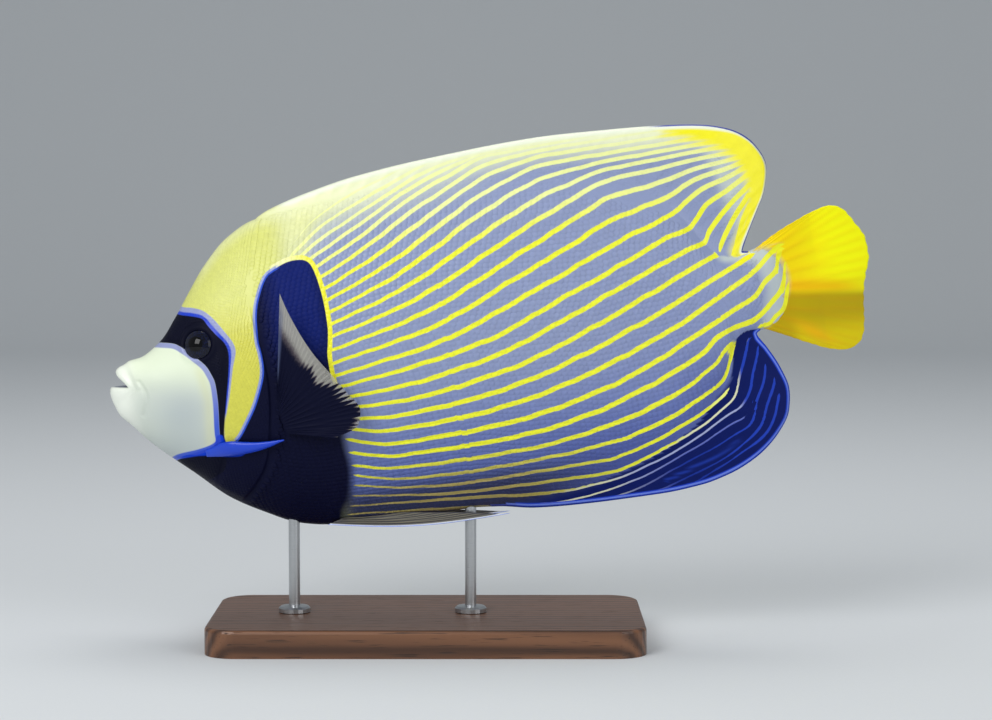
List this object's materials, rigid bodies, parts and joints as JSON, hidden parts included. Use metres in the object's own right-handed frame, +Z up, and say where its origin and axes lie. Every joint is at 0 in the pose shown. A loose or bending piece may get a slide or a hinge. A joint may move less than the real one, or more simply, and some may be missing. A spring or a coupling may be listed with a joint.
{
  "type": "emperor angelfish display model",
  "caption": "Life-size still model of an adult emperor angelfish with spread fins, held head down by short rods on a flat display base.",
  "frame": {"origin": "centre of the bounding box in plan, on the floor under the stand's base", "axes": "-X towards the head, +X towards the tail, -Y out of the fish's left flank, +Z up"},
  "size_m": [0.3387, 0.098, 0.2269],
  "materials": {
    "skin": "scaled skin, blue-violet with narrow yellow stripes, dark mask, pale snout, wet satin",
    "tail_fin": "bright yellow fin membrane over fine rays, satin",
    "clear_fin": "blue-black fin rays with a clear margin, satin",
    "pelvic_fin": "brown-grey membrane with a blue leading edge, satin",
    "spine": "hard blue spine, glossy",
    "eye": "dark glass eye, polished",
    "stand_base": "oiled walnut, satin",
    "stand_rod": "brushed stainless steel"
  },
  "bodies": {
    "root": {"head": "skin", "gill_cover_left": "skin", "gill_cover_right": "skin", "trunk": "skin", "tail_stem": "skin", "dorsal_fin": "skin", "anal_fin": "skin", "caudal_fin": "tail_fin", "pectoral_fin_left": "clear_fin", "pectoral_fin_right": "clear_fin", "pelvic_fin_left": "pelvic_fin", "pelvic_fin_right": "pelvic_fin", "cheek_spine_left": "spine", "cheek_spine_right": "spine", "eye_left": "eye", "eye_right": "eye", "stand_base": "stand_base", "stand_rod_front": "stand_rod", "stand_rod_rear": "stand_rod"}
  },
  "joints": []
}
